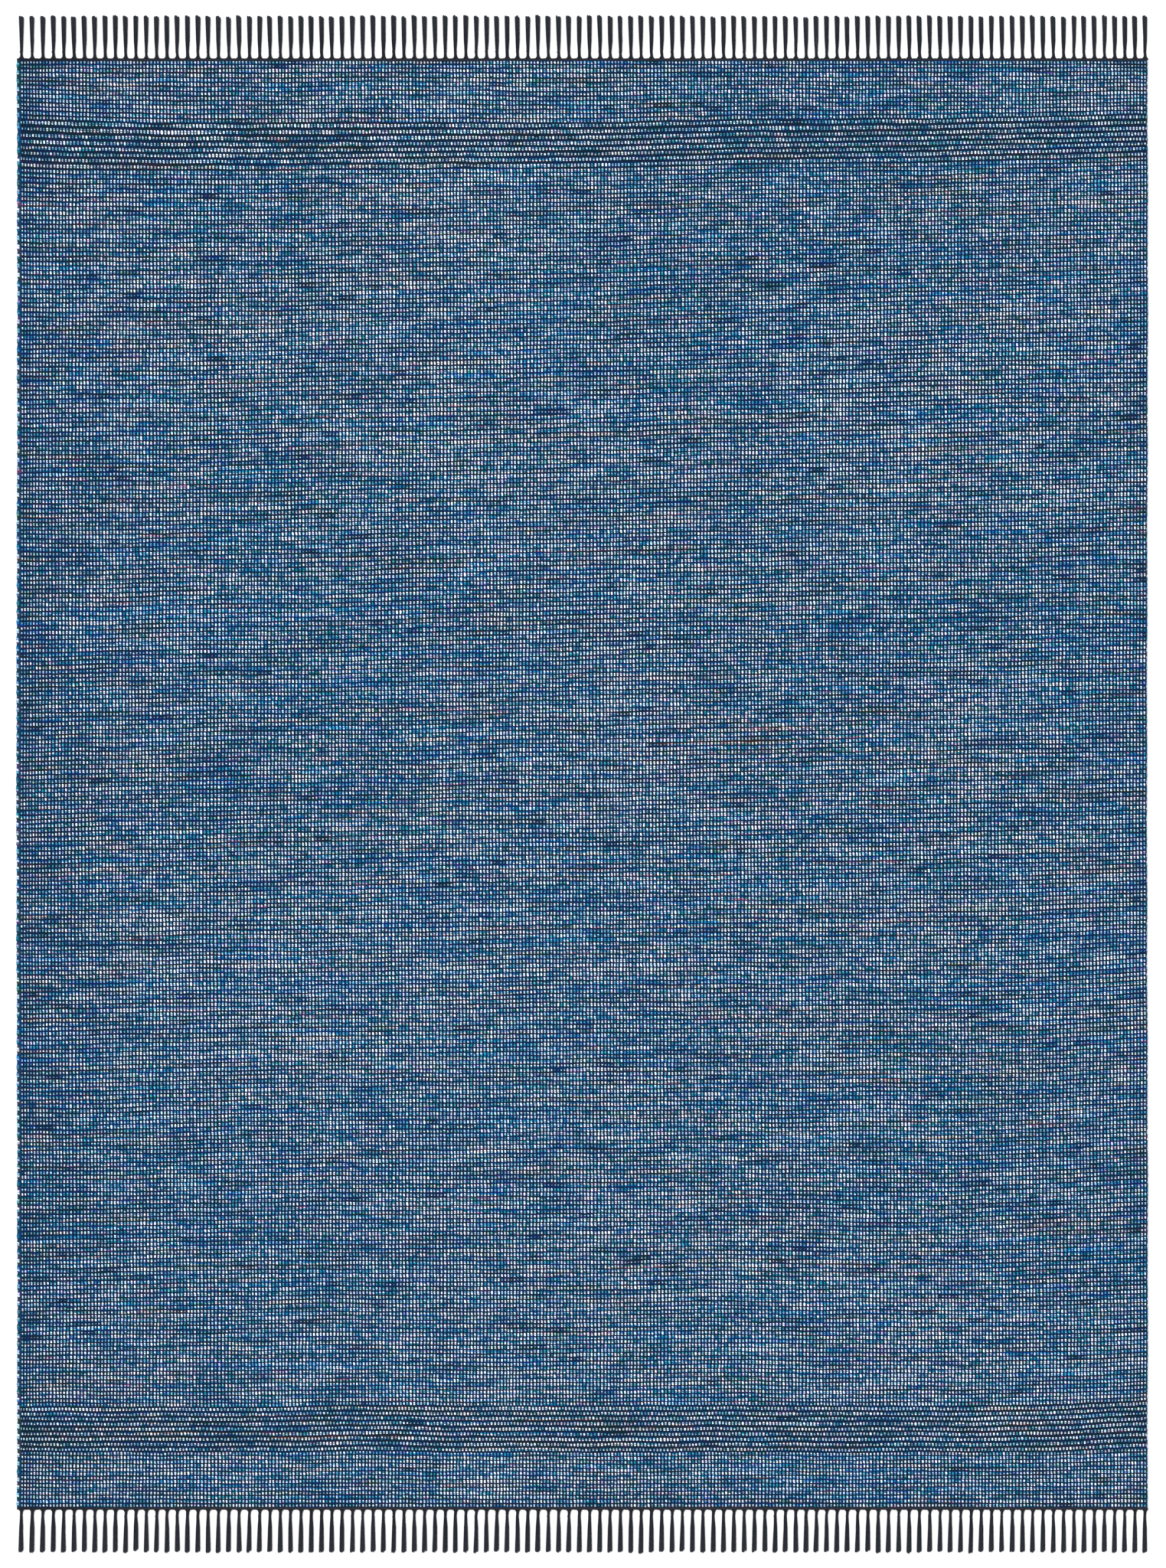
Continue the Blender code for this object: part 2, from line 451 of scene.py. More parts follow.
def selvedge(side, material):
    """The corded edge, where every second row turns back round the outer warps in a loop."""
    name, edge, dyed_column = ("selvedge_left", 0, 0) if side < 0 else ("selvedge_right", -1, COLUMNS - 1)
    count = len(SELVEDGE_PROFILE)
    pick = np.arange(2 * ROWS + 1)
    phase = 0.25 - 0.25 * side
    chance = np.random.default_rng(LOOP_SEED + side)
    turn = np.cos(math.tau * (pick / 4 + phase))
    turn = turn + LOOP_MEAN + LOOP_UNEVENNESS * chance.standard_normal(len(pick))
    turn = np.clip(turn, *LOOP_LIMITS)
    points = np.empty((len(pick), count, 3))
    for k, (out, height) in enumerate(SELVEDGE_PROFILE):
        bulge = LOOP_DEPTH[side] * turn * min(k / 3, 1)
        points[:, k, 0] = X[:, edge] + side * (out * SELVEDGE[side] + bulge)
        points[:, k, 1] = Y[:, edge]
        points[:, k, 2] = height + (LOOP_RISE * turn if k in LOOP_PLACES else 0)
    i, k = np.meshgrid(pick[:-1], np.arange(count - 1), indexing="ij")
    i, k = i.ravel(), k.ravel()
    near, far = i * count + k, (i + 1) * count + k
    quads = np.stack([near, near + 1, far + 1, far], 1)
    if side < 0:
        quads = quads[:, ::-1]
    made = mesh_object(name, points.reshape(-1, 3), quads)
    mesh = made.data
    corner_pick, corner_place = np.divmod(quads, count)
    outward = corner_place / (count - 1)
    set_map(mesh, "weave", np.stack([outward, corner_pick / 4 + phase], 2))
    set_map(mesh, "OFBake", folded(corner_pick / (2 * ROWS), outward))
    # A loop joins two rows, and has the dyes of the nearer one
    set_dyes(mesh, i // 4 * 2, dyed_column)
    mesh.materials.append(material)
    return made


# The flat body: its rows of points in each stretch from band edge to band edge, its columns of points, and
# how much of each selvedge it fills
GROUND_ROWS = (3, 3, 24, 3, 3)
GROUND_COLUMNS = 21
RIM_SHARE = 0.72

# Its bake map, where the underside starts after a narrow strip for the covered faces
BACK_START = 0.04
BACK_WIDTH = 0.955
COVERED_WIDTH = 0.03
GROUND_MARGIN = 0.002


def ground(material):
    """The cloth's flat body under its raised face: one closed sheet, whose underside is the rug's back."""
    stops = np.flatnonzero(np.diff(IN_BAND.astype(int))) + 1
    stops = [0, *stops, ROWS]
    parts = [np.linspace(a, b, count) for a, b, count in zip(stops, stops[1:], GROUND_ROWS)]
    rows = np.unique(np.round(np.concatenate(parts))).astype(int)
    columns = np.unique(np.round(np.linspace(0, COLUMNS, GROUND_COLUMNS))).astype(int)
    x = X[np.ix_(2 * rows, 2 * columns)]
    y = Y[np.ix_(2 * rows, 2 * columns)]
    rim = {side: RIM_SHARE * SELVEDGE[side] for side in (-1, 1)}
    x = np.concatenate([x[:, :1] - rim[-1], x, x[:, -1:] + rim[1]], 1)
    y = np.concatenate([y[:, :1], y, y[:, -1:]], 1)
    place = np.concatenate([[-1], columns, [COLUMNS + 1]])
    n_rows, n_columns = x.shape
    flat = np.stack([x.ravel(), y.ravel()], 1)
    top = np.column_stack([flat, np.full(len(flat), GROUND_TOP)])
    bottom = np.column_stack([flat, np.zeros(len(flat))])
    i, j = np.meshgrid(np.arange(n_rows - 1), np.arange(n_columns - 1), indexing="ij")
    i, j = i.ravel(), j.ravel()
    a = i * n_columns + j
    upper = np.stack([a, a + 1, a + 1 + n_columns, a + n_columns], 1)
    lower = upper[:, ::-1] + len(flat)
    ring = np.concatenate([
        np.arange(n_columns),
        np.arange(1, n_rows) * n_columns + n_columns - 1,
        (n_rows - 1) * n_columns + np.arange(n_columns - 2, -1, -1),
        np.arange(n_rows - 2, 0, -1) * n_columns,
    ])
    after = np.roll(ring, -1)
    wall = np.stack([ring, ring + len(flat), after + len(flat), after], 1)
    quads = np.concatenate([upper, lower, wall])
    made = mesh_object("rug_ground", np.concatenate([top, bottom]), quads)
    mesh = made.data
    mesh.polygons.foreach_set("use_smooth", np.zeros(len(quads), bool))
    corner_row, corner_column = np.divmod(quads % len(flat), n_columns)
    set_map(mesh, "weave", np.stack([place[corner_column], rows[corner_row]], 2))
    # The underside fills nearly all of the map, because the rest is covered
    face = np.arange(len(quads))[:, None]
    is_back = (face >= len(upper)) & (face < 2 * len(upper))
    across = corner_column / (n_columns - 1)
    bake_x = np.where(is_back, BACK_START + BACK_WIDTH * across, COVERED_WIDTH * across)
    bake_y = inset(corner_row / (n_rows - 1), GROUND_MARGIN)
    set_map(mesh, "OFBake", np.stack([bake_x, bake_y], 2))
    face_row = np.concatenate([i, i, np.zeros(len(wall), int)])
    set_values(mesh, "band", IN_BAND[rows[face_row]])
    set_values(mesh, "fullness", np.ones(len(quads)))
    mesh.materials.append(material)
    return made


END_NAMES = {1: "fringe_far", -1: "fringe_near"}

# The fringe: how far in from the left and right side the outermost tassels lie, how far to the right of an
# even spacing the others lie, and over how many tassels from each side this comes in
TASSELS = 110
OUTERMOST = (9.6 * MM, 5.3 * MM)
TASSEL_SHIFT = 2.7 * MM
SHIFT_REACH = (2.2, 6)
HEADING_START = FAR_LOW[1]
HEADING_DEPTH = 5.5 * MM

# Sections of a tassel: distance from the heading, width, height, sideways lean and radius of the strands
TASSEL_SHAPE = np.array([
    (-3.5, 16.0, 4.4, 0.0, 1.9),
    (0.6, 12.2, 4.4, 0.0, 1.85),
    (3.6, 8.7, 4.4, 0.0, 1.8),
    (13.0, 7.0, 4.4, 0.0, 1.65),
    (38.0, 9.8, 4.7, 0.1, 2.05),
    (87.5, 11.2, 4.9, -0.4, 2.3),
    (91.2, 9.6, 4.0, -0.6, 1.4),
]) * MM
NECK = 13.0 * MM
TIP_CUT = 2.0 * MM

# Its strands: how they are twisted, and how much they and the tassels differ from one another
STRANDS = 4
STRAND_SIDES = 6
STRAND_START = 0.4
STRAND_TURN = 1.0
TURN_SPREAD = 0.25
STRAND_SPREAD = 0.16 * MM
LENGTH_SPREAD = 0.008
TIP_SPREAD = 0.4 * MM
SWAY_SPREAD = 0.35 * MM
STRAND_SEED = 61
STRAND_TINT_SEED = 63

# A strand's or knot's place in its cell of the bake map
AROUND_MARGIN = 0.05
ALONG_MARGIN = 0.03

# The knots: distance from the heading and radius of their rings
KNOT_SHAPE = np.array([(12.0, 2.0), (13.0, 3.1), (15.0, 3.1), (16.2, 2.0)]) * MM
KNOT_FLATNESS = 0.8
KNOT_LEAN = -0.3 * MM
KNOT_SPREAD = 0.2 * MM
KNOT_SEED = 71
KNOT_TINT_SEED = 73

# The heading: distance from the cloth and height of its profile, how its turns dip, swing and slant, the
# share of its height that its ends keep, and the twists and the tint of its yarn
HEADING_PROFILE = np.array([(-1.0, 3.2), (0.6, 4.4), (2.6, 4.8), (4.3, 3.6), (5.3, 0.5)]) * MM
HEADING_TURNS = 220
HEADING_STEPS = 4
HEADING_DIP = 0.13
HEADING_SWING = 0.25 * MM
HEADING_SLANT = 0.12
HEADING_END = 0.1
HEADING_TWISTS = 12
HEADING_TINT = 0.35


def rings(x, y, z, radius):
    """Points of rings round lines that run along Y, from arrays of the rings' middles and radii."""
    around = math.tau * np.arange(STRAND_SIDES) / STRAND_SIDES
    ring_x = x[..., None] + radius[..., None] * np.cos(around)
    ring_z = z[..., None] + radius[..., None] * np.sin(around)
    ring_y = np.broadcast_to(y[..., None], ring_x.shape)
    return np.stack([ring_x, ring_y, ring_z], -1)


def tube_faces(count, ring_count):
    """Quads of six-sided tubes with their end caps, and each corner's share of the way round and along."""
    i, k = np.meshgrid(np.arange(ring_count - 1), np.arange(STRAND_SIDES), indexing="ij")
    ring = i.ravel()[:, None] + [0, 1, 1, 0]
    side = k.ravel()[:, None] + [0, 0, 1, 1]
    cap = np.array([[0, 1, 2, 3], [0, 3, 4, 5]])
    ring = np.concatenate([ring, 0 * cap, 0 * cap + ring_count - 1])
    side = np.concatenate([side, cap, cap[:, ::-1]])
    faces = ring * STRAND_SIDES + side % STRAND_SIDES
    first = np.arange(count)[:, None, None] * ring_count * STRAND_SIDES
    around = np.broadcast_to(side / STRAND_SIDES, (count, *side.shape))
    along = np.broadcast_to(ring / (ring_count - 1), (count, *ring.shape))
    return (first + faces).reshape(-1, 4), around.reshape(-1, 4), along.reshape(-1, 4)


def yarn_object(name, points, end, seed, material):
    """Yarns as one mesh, from an array of tubes by rings by sides by XYZ."""
    count, ring_count = points.shape[:2]
    faces, around, along = tube_faces(count, ring_count)
    tube = faces // (ring_count * STRAND_SIDES)
    if end < 0:
        faces, around, along = faces[:, ::-1], around[:, ::-1], along[:, ::-1]
    made = mesh_object(name, points.reshape(-1, 3), faces)
    set_map(made.data, "weave", np.stack([around, along], 2))
    bake_x = (tube // STRANDS + inset(around, AROUND_MARGIN)) / (count // STRANDS)
    bake_y = (tube % STRANDS + inset(along, ALONG_MARGIN)) / STRANDS
    set_map(made.data, "OFBake", np.stack([bake_x, bake_y], 2))
    tint = np.random.default_rng(seed).random(count)
    set_values(made.data, "tint", tint[tube[:, 0]])
    made.data.materials.append(material)
    return made


def tassel_centres():
    """The tassels' middles along X: evenly spaced, but for a small shift between the outermost ones."""
    k = np.arange(TASSELS)
    left, right = OUTERMOST
    even = np.linspace(left - RUG_WIDTH / 2, RUG_WIDTH / 2 - right, TASSELS)
    from_left, from_right = SHIFT_REACH
    return even + TASSEL_SHIFT * np.tanh(k / from_left) * np.tanh((TASSELS - 1 - k) / from_right)


def tassels(end, material):
    """One end's tassels: each has four loosely twisted strands, gathered at its neck and open at its tip."""
    chance = np.random.default_rng(STRAND_SEED + end)
    distance, width, height, lean, radius = TASSEL_SHAPE.T
    strand = np.arange(STRANDS)[None, :, None]
    grip = ease((distance - distance[0]) / (NECK - distance[0]))
    turn = math.tau * (strand + STRAND_START) / STRANDS + STRAND_TURN * distance / distance[-1]
    turn = turn + chance.normal(0, TURN_SPREAD, (TASSELS, STRANDS, 1))
    fan = (strand / (STRANDS - 1) - 0.5) * (width - 2 * radius)
    across = (1 - grip) * fan + grip * np.cos(turn) * (width / 2 - radius)
    across = across + grip * chance.normal(0, STRAND_SPREAD, across.shape)
    up = height / 2 + grip * np.sin(turn) * (height / 2 - radius)
    length = 1 + chance.normal(0, LENGTH_SPREAD, (TASSELS, 1, 1))
    # The tip is cut at a slant in its last fifth
    cut = TIP_CUT * ease(distance / distance[-1] * 5 - 4) * ease(across / (3 * MM))
    out = distance * length - cut + chance.normal(0, TIP_SPREAD, (TASSELS, STRANDS, 1)) * grip
    sway = chance.normal(0, SWAY_SPREAD, (TASSELS, 1, 1)) * distance / distance[-1]
    x = tassel_centres()[:, None, None] + across + lean + sway
    y = end * (HEADING_START + HEADING_DEPTH + out)
    z = np.maximum(up, radius)
    points = rings(x, y, z, np.broadcast_to(radius, x.shape))
    points = points.reshape(TASSELS * STRANDS, len(distance), STRAND_SIDES, 3)
    return yarn_object(END_NAMES[end] + "_strands", points, end, STRAND_TINT_SEED + end, material)


def knots(end, material):
    """The turn of yarn that binds each tassel at its neck."""
    chance = np.random.default_rng(KNOT_SEED + end)
    distance, radius = KNOT_SHAPE.T
    shape = (TASSELS, len(distance))
    shift = chance.normal(0, KNOT_SPREAD, (TASSELS, 1))
    x = tassel_centres()[:, None] + KNOT_LEAN + shift + 0 * distance
    y = end * (HEADING_START + HEADING_DEPTH + distance + 3 * shift)
    z = np.full(shape, radius.max())
    points = rings(x, y, z, np.broadcast_to(radius, shape)) * (1, 1, KNOT_FLATNESS)
    return yarn_object(END_NAMES[end] + "_knots", points, end, KNOT_TINT_SEED + end, material)


def heading(end, material):
    """The twined cord that holds the last picks, and from which the tassels spring."""
    count = HEADING_TURNS * HEADING_STEPS + 1
    depth, height = HEADING_PROFILE.T
    place = np.arange(count)[:, None]
    x = RUG_WIDTH * (place / (count - 1) - 0.5) + 0 * depth
    turn = math.tau * (place / HEADING_STEPS - HEADING_SLANT * np.arange(len(depth)))
    rise = 1 - HEADING_DIP * (1 + np.cos(turn))
    rise[[0, -1]] = HEADING_END
    y = end * (HEADING_START + depth + HEADING_SWING * np.sin(turn))
    z = height * rise
    points = np.stack([x, y, z], 2).reshape(-1, 3)
    i, k = np.meshgrid(np.arange(count - 1), np.arange(len(depth) - 1), indexing="ij")
    place, step = i.ravel()[:, None] + [0, 1, 1, 0], k.ravel()[:, None] + [0, 0, 1, 1]
    if end < 0:
        place, step = place[:, ::-1], step[:, ::-1]
    made = mesh_object(END_NAMES[end] + "_heading", points, place * len(depth) + step)
    across = step / (len(depth) - 1)
    set_map(made.data, "weave", np.stack([across, place / count * HEADING_TWISTS], 2))
    set_map(made.data, "OFBake", folded(place / (count - 1), across))
    set_values(made.data, "tint", np.full(len(place), HEADING_TINT))
    made.data.materials.append(material)
    return made


# Display shades: how far red and blue lie from green in all yarn, and further for a step more vivid and for
# one to violet. The factors multiply this in dark yarn, in pale yarn and in the bands. The range is from the
# green of dark yarn to that of pale yarn
RED_STEPS = (-0.169, -0.057, 0.062)
RED_FACTORS = (1.56, 0.44)
BLUE_STEPS = (0.120, 0.030, 0.029)
BLUE_FACTORS = (0.92, 0.77)
BAND_FACTOR = 0.80
YARN_RANGE = (0.42, 1.0)

# Display greens of the furrows, as their fibres vary, and of the selvedges' warps, and the other shades
FURROW_GREENS = (0.085, 0.165)
CORD_GREEN = 0.20
FRINGE_DARK = (0.068, 0.078, 0.115)
FRINGE_PALE = (0.16, 0.17, 0.20)
FLOOR_SHADE = 0.785

# A float in its cell, in the field and in the bands: half its width before fullness is added, and half its
# height when full. Then what fullness adds to the width, the power of the rounded outline, and how far the
# parting of the two picks slants
FLOAT_HALF_WIDTHS = (0.155, 0.180)
FLOAT_HALF_HEIGHTS = (0.365, 0.282)
WIDER_WHEN_FULL = 0.12
OUTLINE_POWER = 2.6
PICK_SLANT = 0.2

# The parting between a float's two picks: half its width, and how dark it is in the floats that show it
# least and most. Its darkness is painted shade in the groove between the picks
PARTING_WIDTH = 0.13
PARTING_DEPTHS = (0.1, 0.85)

# How much shades vary from fibre to fibre in the floats and in the selvedges' loops, which are darker too
FIBRE_CONTRAST = 0.12
LOOP_CONTRAST = 0.2
LOOP_DARKNESS = 0.26
NOISE_DETAIL = 3.0

# How far the bumps stand out in the weave, the selvedges and the fringes
WEAVE_BUMP = 0.5 * MM
LOOP_BUMP = 0.6 * MM
YARN_BUMP = 0.5 * MM

# The length in columns of the runs of dye on the underside
BACK_RUN = 8.0


def linear(shade):
    """A display colour in linear light, opaque."""
    return [c / 12.92 if c <= 0.04045 else ((c + 0.055) / 1.055) ** 2.4 for c in shade] + [1.0]


class Graph:
    """A material and short calls for its nodes."""

    def __init__(self, name, roughness, sheen):
        self.material = bpy.data.materials.new(name)
        self.material.use_nodes = True
        self.nodes = self.material.node_tree.nodes
        self.links = self.material.node_tree.links
        self.shader = self.nodes["Principled BSDF"]
        self.shader.inputs["Roughness"].default_value = roughness
        self.shader.inputs["Specular IOR Level"].default_value = 0.1
        self.shader.inputs["Sheen Weight"].default_value = sheen
        self.shader.inputs["Sheen Roughness"].default_value = 0.5

    def feed(self, socket, value):
        """Links an output to the socket, or sets the socket to a number, or leaves it as it is for None."""
        if isinstance(value, bpy.types.NodeSocket):
            self.links.new(value, socket)
        elif value is not None:
            socket.default_value = value

    def add(self, kind, *inputs, output=0, **settings):
        """One output of a new node of this kind, with its inputs in their order."""
        node = self.nodes.new("ShaderNode" + kind)
        for key, value in settings.items():
            setattr(node, key, value)
        for socket, value in zip(node.inputs, inputs):
            self.feed(socket, value)
        return node.outputs[output]

    def math(self, operation, *inputs):
        return self.add("Math", *inputs, operation=operation)

    def attribute(self, name):
        """The number that each face has under this name."""
        return self.add("Attribute", attribute_name=name, output=2)

    def step(self, value, low, high, to_low=0.0, to_high=1.0):
        """A smooth change from one number to another while the value goes from low to high."""
        return self.add("MapRange", value, low, high, to_low, to_high, interpolation_type="SMOOTHSTEP")

    def mix(self, factor, a, b):
        node = self.nodes.new("ShaderNodeMix")
        node.data_type = "RGBA"
        for socket, value in zip((node.inputs[0], node.inputs[6], node.inputs[7]), (factor, a, b)):
            self.feed(socket, value)
        return node.outputs[2]

    def between(self, factor, low, high):
        """The number that lies this share of the way from low to high."""
        return self.math("MULTIPLY_ADD", self.math("SUBTRACT", high, low), factor, low)

    def split(self, vector):
        node = self.nodes.new("ShaderNodeSeparateXYZ")
        self.feed(node.inputs[0], vector)
        return list(node.outputs)

    def places(self, name):
        """The two coordinates of a UV map."""
        return self.split(self.add("UVMap", uv_map=name))[:2]

    def dyes(self, upper):
        """The green, vividness and violet cast of the upper or lower pick."""
        low, high = (self.split(self.add("Attribute", attribute_name=name, output=1))
                     for name in ("dye_low", "dye_high"))
        return [self.between(upper, *pair) for pair in zip(low, high)]

    def dyed(self, shade, dyes, strength=1.0):
        """The colour with this display green, and as much less red and more blue as its dyes give it."""
        green, vivid, violet = dyes
        shades = []
        for steps, factors in ((RED_STEPS, RED_FACTORS), (BLUE_STEPS, BLUE_FACTORS)):
            plain, for_vivid, for_violet = steps
            shift = self.math("MULTIPLY_ADD", vivid, for_vivid, plain)
            shift = self.math("MULTIPLY_ADD", violet, for_violet, shift)
            factor = self.math("MULTIPLY", self.step(green, *YARN_RANGE, *factors), strength)
            shades.append(self.add("Clamp", self.math("MULTIPLY_ADD", shift, factor, shade), 0.0, 1.0))
        return self.add("Gamma", self.add("CombineColor", shades[0], shade, shades[1]), 2.2)

    def noise(self, x, y, scale):
        """Soft noise with fine detail, from 0 to 1."""
        vector = self.add("CombineXYZ", x, y)
        return self.add("TexNoise", vector, None, scale, NOISE_DETAIL)

    def chance(self, x, y):
        """A number from 0 to 1 that is another for each whole x and y."""
        vector = self.add("CombineXYZ", x, y)
        return self.add("TexWhiteNoise", vector, noise_dimensions="2D")

    def finish(self, colour, height, depth, strength):
        """Gives the shader its colour and its bumps, and returns the material."""
        self.feed(self.shader.inputs["Base Color"], colour)
        bump = self.nodes.new("ShaderNodeBump")
        bump.inputs["Strength"].default_value = strength
        bump.inputs["Distance"].default_value = depth
        self.feed(bump.inputs["Height"], height)
        self.feed(self.shader.inputs["Normal"], bump.outputs[0])
        return self.material


def float_mask(g, du, dv, band):
    """How much of a float there is at this place in its square: an upright rounded lozenge."""
    fullness = g.attribute("fullness")
    half_width = g.math("MULTIPLY_ADD", fullness, WIDER_WHEN_FULL, g.step(band, 0, 1, *FLOAT_HALF_WIDTHS))
    half_height = g.math("MULTIPLY", fullness, g.step(band, 0, 1, *FLOAT_HALF_HEIGHTS))
    across = g.math("POWER", g.math("DIVIDE", g.math("ABSOLUTE", du), half_width), OUTLINE_POWER)
    upward = g.math("POWER", g.math("DIVIDE", g.math("ABSOLUTE", dv), half_height), OUTLINE_POWER)
    # The wide soft step fades each float into the furrow's shade: partly its rounded outline, partly painted
    # shade on its rounded edges
    return g.step(g.math("ADD", across, upward), 1.2, 0.5)


def finish_weave(g, u, v, du, dv, dyes, band):
    """Colours the floats by their dyes, darkens the warp between them, and paints shade in the groove that
    parts the two picks of each float.
    """
    mask = float_mask(g, du, dv, band)
    parting = g.math("ABSOLUTE", g.math("MULTIPLY_ADD", du, PICK_SLANT, dv))
    pick = g.step(parting, 0.0, PARTING_WIDTH)
    # Painted shade along the parting: each float darkens towards the furrow's shade in the groove between
    # its two picks, more in some floats than in others
    parting_shade = g.step(g.chance(g.math("FLOOR", u), g.math("FLOOR", v)), 0.0, 0.6, *PARTING_DEPTHS)
    whole = g.math("MULTIPLY", mask, g.between(pick, g.math("SUBTRACT", 1.0, parting_shade), 1.0))
    slanted = g.math("MULTIPLY_ADD", v, 7.0, g.math("MULTIPLY", u, 1.5))
    fibre = g.noise(g.math("MULTIPLY", u, 3.0), slanted, 2.0)
    shade = g.math("MULTIPLY_ADD", fibre, FIBRE_CONTRAST, g.math("SUBTRACT", dyes[0], FIBRE_CONTRAST / 2))
    shade = g.add("Clamp", g.between(whole, g.between(fibre, *FURROW_GREENS), shade), 0.0, 1.0)
    colour = g.dyed(shade, dyes, g.step(band, 0, 1, 1.0, BAND_FACTOR))
    rounded = g.math("MULTIPLY_ADD", pick, 0.4, 0.6)
    height = g.math("MULTIPLY_ADD", mask, rounded, g.math("MULTIPLY", fibre, 0.25))
    return g.finish(colour, height, WEAVE_BUMP, 0.6)


def weave_material():
    """The cloth's face, whose floats take their shades from the cloth's own runs of dyed yarn."""
    g = Graph("heathered_weave", 0.9, 0.04)
    u, v = g.places("weave")
    dv = g.math("SUBTRACT", g.math("FRACT", v), 0.5)
    du = g.math("MULTIPLY_ADD", dv, 0.12, g.math("SUBTRACT", g.math("FRACT", u), 0.5))
    upper = g.math("GREATER_THAN", g.math("MULTIPLY_ADD", du, PICK_SLANT, dv), 0.0)
    return finish_weave(g, u, v, du, dv, g.dyes(upper), g.attribute("band"))


def back_material():
    """The cloth's underside: the same picks, with shades of their own."""
    g = Graph("heathered_back", 0.92, 0.08)
    u, v = g.places("weave")
    dv = g.math("SUBTRACT", g.math("FRACT", v), 0.5)
    du = g.math("SUBTRACT", g.math("FRACT", g.math("ADD", u, 0.5)), 0.5)
    pick = g.math("FLOOR", g.math("MULTIPLY", v, 2.0))
    start = g.math("MULTIPLY", g.chance(pick, 3.0), BACK_RUN)
    run = g.math("FLOOR", g.math("DIVIDE", g.math("ADD", u, start), BACK_RUN))
    own = g.chance(g.math("FLOOR", u), pick)
    tone = g.math("MULTIPLY_ADD", own, 0.35, g.math("MULTIPLY", g.chance(run, pick), 0.65))
    green = g.step(tone, -0.2, 1.0, 0.40, 1.0)
    vivid = g.math("MULTIPLY_ADD", g.chance(pick, run), 3.0, -1.5)
    violet = g.math("MULTIPLY_ADD", g.chance(pick, g.math("ADD", run, 0.5)), 3.0, -1.5)
    return finish_weave(g, u, v, du, dv, (green, vivid, violet), g.attribute("band"))


def selvedge_material():
    """Dark outer warps, round which the picks turn back as slanted loops in their own shades."""
    g = Graph("corded_selvedge", 0.9, 0.08)
    u, v = g.places("weave")
    dv = g.math("SUBTRACT", g.math("FRACT", g.math("ADD", v, 0.5)), 0.5)
    slanted = g.math("MULTIPLY_ADD", g.math("SUBTRACT", u, 0.5), -0.16, dv)
    dyes = g.dyes(g.math("GREATER_THAN", slanted, 0.0))
    along = g.step(g.math("ABSOLUTE", slanted), 0.27, 0.19)
    # Painted shade along the parting: each loop darkens towards the cord's shade in the groove between its
    # two picks
    parting_shade = g.step(g.math("ABSOLUTE", slanted), 0.0, 0.04, 0.35, 1.0)
    across = g.math("MULTIPLY", g.step(u, 0.22, 0.34), g.step(u, 0.98, 0.90))
    loop = g.math("MULTIPLY", g.math("MULTIPLY", along, parting_shade), across)
    fibre = g.noise(g.math("MULTIPLY", u, 6.0), g.math("MULTIPLY", v, 18.0), 3.0)
    shade = g.math("MULTIPLY_ADD", fibre, LOOP_CONTRAST, g.math("SUBTRACT", dyes[0], LOOP_DARKNESS))
    shade = g.add("Clamp", g.between(loop, CORD_GREEN, shade), 0.0, 1.0)
    colour = g.dyed(shade, dyes)
    return g.finish(colour, g.math("MULTIPLY_ADD", fibre, 0.3, loop), LOOP_BUMP, 0.6)


def fringe_material():
    """Near-black yarn of twisted fibres, greyer where the cut ends open, with painted light and shade along
    its twist.
    """
    g = Graph("navy_yarn", 0.88, 0.12)
    u, v = g.places("weave")
    twist = g.math("MULTIPLY_ADD", v, 22.0, g.math("MULTIPLY", u, 2.0))
    ridge = g.math("PINGPONG", twist, 0.5)
    fibre = g.noise(g.math("MULTIPLY", u, 5.0), g.math("MULTIPLY", v, 40.0), 2.0)
    pale = g.math("MULTIPLY_ADD", g.step(v, 0.55, 1.0), 0.45, g.math("MULTIPLY", g.attribute("tint"), 0.25))
    pale = g.math("ADD", pale, g.math("MULTIPLY", g.math("SUBTRACT", fibre, 0.5), 0.5))
    # Painted light and shade of the twist: the yarn is paler on the crests that the bump raises and darker
    # in the grooves between them
    pale = g.math("ADD", pale, g.math("MULTIPLY", g.math("SUBTRACT", ridge, 0.25), 0.4))
    colour = g.mix(g.add("Clamp", pale, 0.0, 1.0), linear(FRINGE_DARK), linear(FRINGE_PALE))
    return g.finish(colour, g.math("ADD", ridge, g.math("MULTIPLY", fibre, 0.4)), YARN_BUMP, 0.7)


def floor_material():
    """Plain, pale and without gloss."""
    g = Graph("pale_floor", 0.95, 0.0)
    g.shader.inputs["Base Color"].default_value = (FLOOR_SHADE, FLOOR_SHADE, FLOOR_SHADE, 1.0)
    return g.material


# The picture's height on the cloth, the camera's lens and film, and how far it stands to the right
PICTURE_HEIGHT = 3.383
LENS = 100.0
FILM = 36.0
OFF_CENTRE = 2.0 * MM

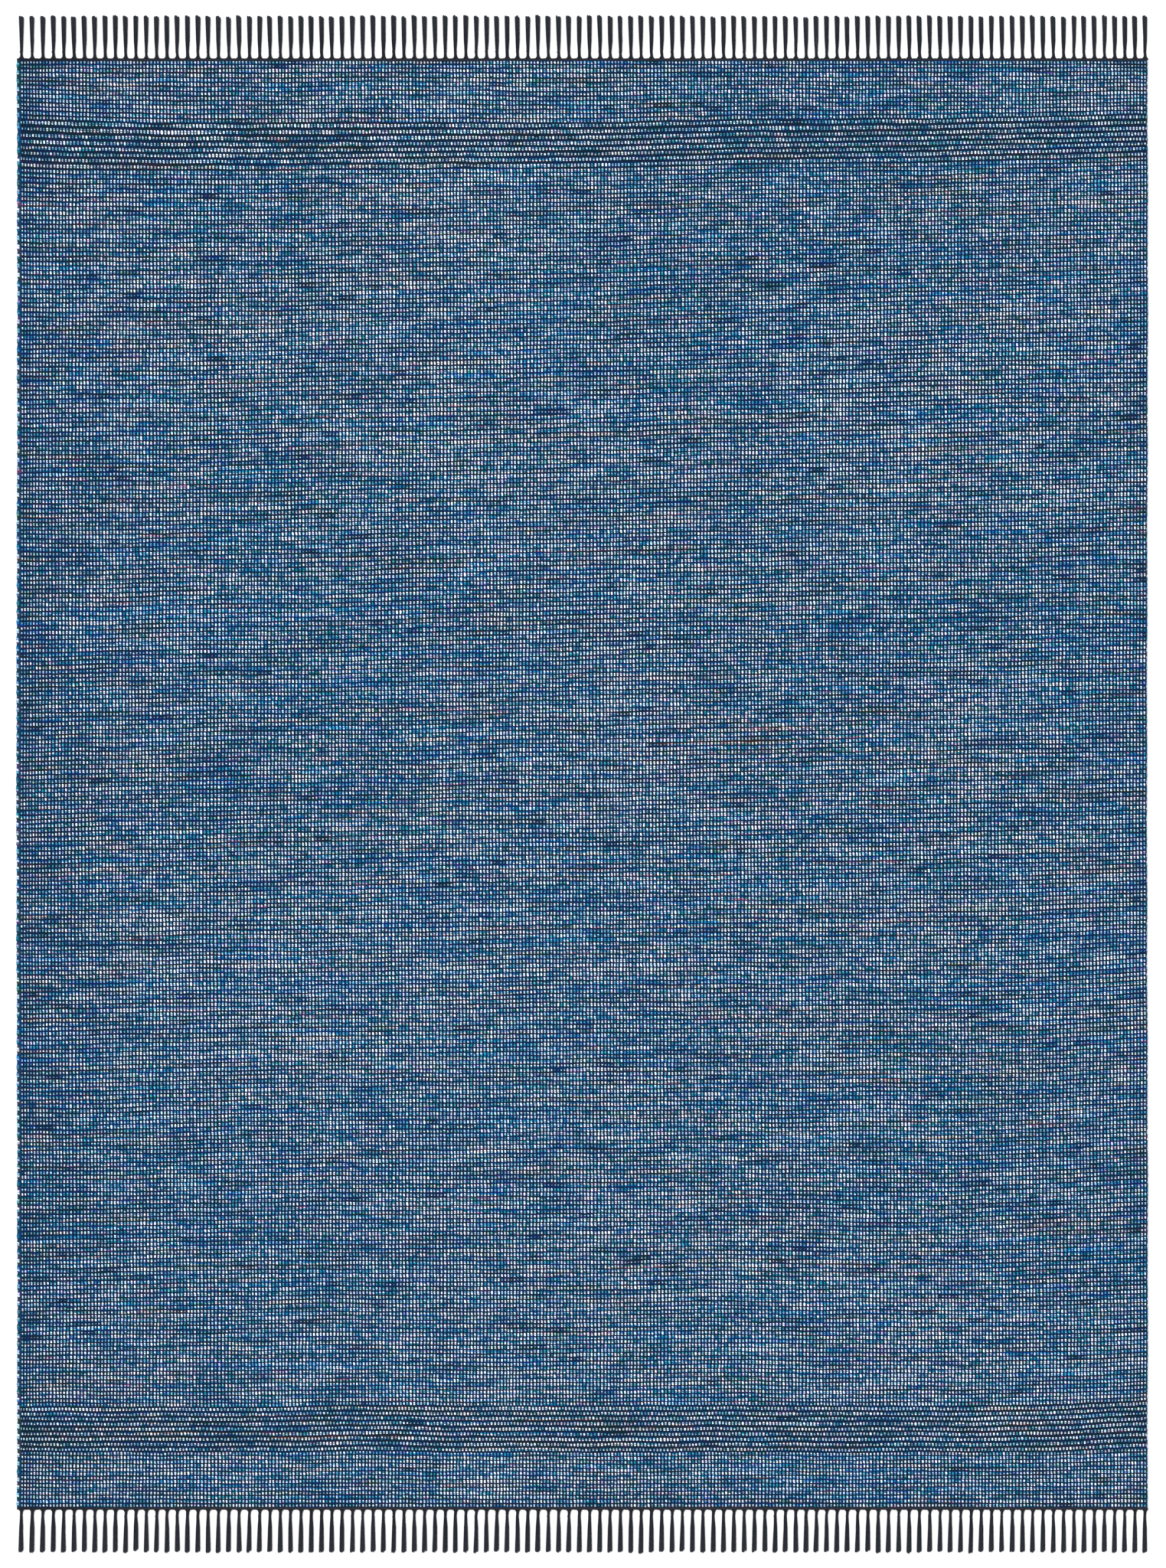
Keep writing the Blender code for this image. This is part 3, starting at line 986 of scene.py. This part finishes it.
# The lamp's strength, its breadth as an angle, its tilts about X and Y in degrees, and the sky's strength
SUN_STRENGTH = 3.05
SUN_ANGLE = 0.7
SUN_TILTS = (-28, -22)
SKY_STRENGTH = 0.785

FLOOR_SIZE = 60.0


def add_camera():
    """The camera, straight above the rug and far enough away that the picture holds the whole of it."""
    data = bpy.data.cameras.new("camera")
    data.lens = LENS
    data.sensor_width = FILM
    camera = bpy.data.objects.new("camera", data)
    camera.location = (OFF_CENTRE, 0.0, CLOTH_TOP + PICTURE_HEIGHT * LENS / FILM)
    bpy.context.scene.collection.objects.link(camera)
    bpy.context.scene.camera = camera


def add_lights():
    """A broad soft lamp from the upper left, and a white sky that fills its shadows."""
    data = bpy.data.lights.new("soft_sun", "SUN")
    data.energy = SUN_STRENGTH
    data.angle = SUN_ANGLE
    sun = bpy.data.objects.new("soft_sun", data)
    sun.rotation_euler = (*map(math.radians, SUN_TILTS), 0.0)
    bpy.context.scene.collection.objects.link(sun)
    world = bpy.data.worlds.new("white_sky")
    world.use_nodes = True
    world.node_tree.nodes["Background"].inputs["Color"].default_value = (1.0, 1.0, 1.0, 1.0)
    world.node_tree.nodes["Background"].inputs["Strength"].default_value = SKY_STRENGTH
    bpy.context.scene.world = world
    bpy.context.scene.view_settings.view_transform = "Standard"


def add_floor():
    """A wide floor under the rug, which lies on it."""
    bpy.ops.mesh.primitive_plane_add(size=FLOOR_SIZE)
    floor = bpy.context.object
    floor.name = "floor"
    floor.data.materials.append(floor_material())


def dress(piece, node):
    """The piece stands for a node, whose part it hides, and rides with the rug."""
    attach(piece, "root")
    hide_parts(node)
    return piece


def add_rug():
    """The cloth, as its flat body with all that lies on it, and then the fringes of both ends."""
    face, edge, yarn = weave_material(), selvedge_material(), fringe_material()
    back = dress(ground(back_material()), "rug_cloth")
    sewn = [weave_panel(index, face) for index in range(PANELS)]
    sewn += [selvedge(side, edge) for side in (-1, 1)]
    for piece in sewn:
        dress(piece, "rug_cloth")
    for end, node in END_NAMES.items():
        for make in (heading, tassels, knots):
            dress(make(end, yarn), node)


add_camera()
add_lights()
add_floor()
add_rug()
